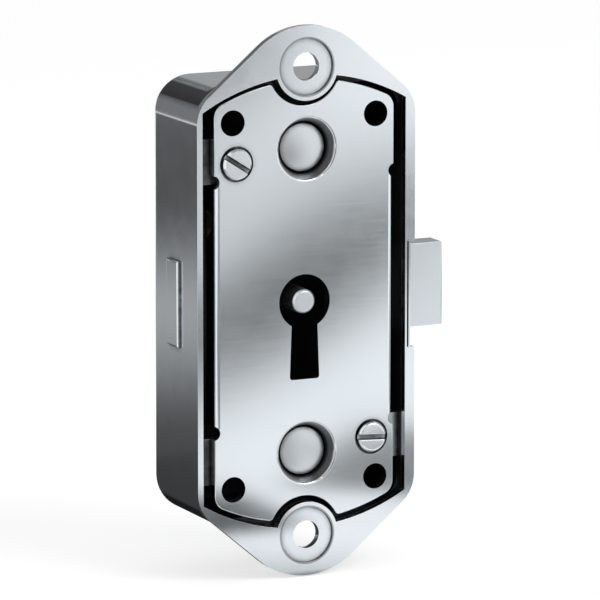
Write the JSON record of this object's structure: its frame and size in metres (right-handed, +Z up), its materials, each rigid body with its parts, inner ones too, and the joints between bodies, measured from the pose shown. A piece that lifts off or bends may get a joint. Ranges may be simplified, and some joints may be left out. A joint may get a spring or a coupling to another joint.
{
  "type": "cabinet lock",
  "caption": "Rim cabinet lock in a pressed steel case with two screw ears, a screwed cover with a keyhole and drill pin, and a side bolt over sprung levers.",
  "frame": {"origin": "on the key pin's axis, midway between the two ear holes, in the front plane of the ears", "axes": "+X the way the bolt is thrown, +Y from the key side into the case, +Z up, towards the upper ear"},
  "size_m": [0.0497, 0.0198, 0.094],
  "materials": {
    "case_plating": "bright nickel plating, slightly satin, on pressed sheet steel",
    "cover_plating": "satin nickel plating on a flat steel plate",
    "screw_plating": "bright plated screw head",
    "inner_steel": "plain pressed steel strip, lightly oiled",
    "post_steel": "turned steel with fine rings",
    "bolt_plating": "nickel plated bar with a fine lengthwise grain",
    "lever_brass": "stamped brass sheet",
    "spring_steel": "blued spring strip"
  },
  "bodies": {
    "lock_case": {"case": "case_plating", "cover": "cover_plating", "cover_screw_upper": "screw_plating", "cover_screw_lower": "screw_plating", "screw_bracket_upper": "inner_steel", "screw_bracket_lower": "inner_steel", "rest_bracket": "inner_steel", "key_pin": "post_steel", "spacer_post_upper": "post_steel", "spacer_post_lower": "post_steel", "lever_pivot_post": "post_steel", "lever_washers": "inner_steel", "bolt_guide_post": "post_steel"},
    "bolt": {"bolt_head": "bolt_plating", "bolt_tail": "inner_steel", "bolt_rivets": "post_steel", "bolt_stump": "post_steel"},
    "lever_1_body": {"lever_1": "lever_brass", "lever_spring_1": "spring_steel"},
    "lever_2_body": {"lever_2": "lever_brass", "lever_spring_2": "spring_steel"},
    "lever_3_body": {"lever_3": "lever_brass", "lever_spring_3": "spring_steel"},
    "lever_4_body": {"lever_4": "lever_brass", "lever_spring_4": "spring_steel"}
  },
  "joints": [
    {"name": "bolt_slide", "type": "slide", "parent": "lock_case", "child": "bolt", "axis": [-1, 0, 0], "range_m": [0, 0.009]},
    {"name": "lever_1_lift", "type": "hinge", "parent": "lock_case", "child": "lever_1_body", "pos_m": [-0.015, 0.0051, 0.014], "axis": [0, -1, 0], "range_deg": [0, 9], "deforming": ["lever_spring_1"]},
    {"name": "lever_2_lift", "type": "hinge", "parent": "lock_case", "child": "lever_2_body", "pos_m": [-0.015, 0.0063, 0.014], "axis": [0, -1, 0], "range_deg": [0, 11], "deforming": ["lever_spring_2"]},
    {"name": "lever_3_lift", "type": "hinge", "parent": "lock_case", "child": "lever_3_body", "pos_m": [-0.015, 0.0075, 0.014], "axis": [0, -1, 0], "range_deg": [0, 10], "deforming": ["lever_spring_3"]},
    {"name": "lever_4_lift", "type": "hinge", "parent": "lock_case", "child": "lever_4_body", "pos_m": [-0.015, 0.0087, 0.014], "axis": [0, -1, 0], "range_deg": [0, 8.5], "deforming": ["lever_spring_4"]}
  ],
  "couplings": [
    {"joint": "lever_1_lift", "follows": "bolt_slide", "rad_per_m": 17.453},
    {"joint": "lever_2_lift", "follows": "bolt_slide", "rad_per_m": 21.332},
    {"joint": "lever_3_lift", "follows": "bolt_slide", "rad_per_m": 19.392},
    {"joint": "lever_4_lift", "follows": "bolt_slide", "rad_per_m": 16.484}
  ]
}
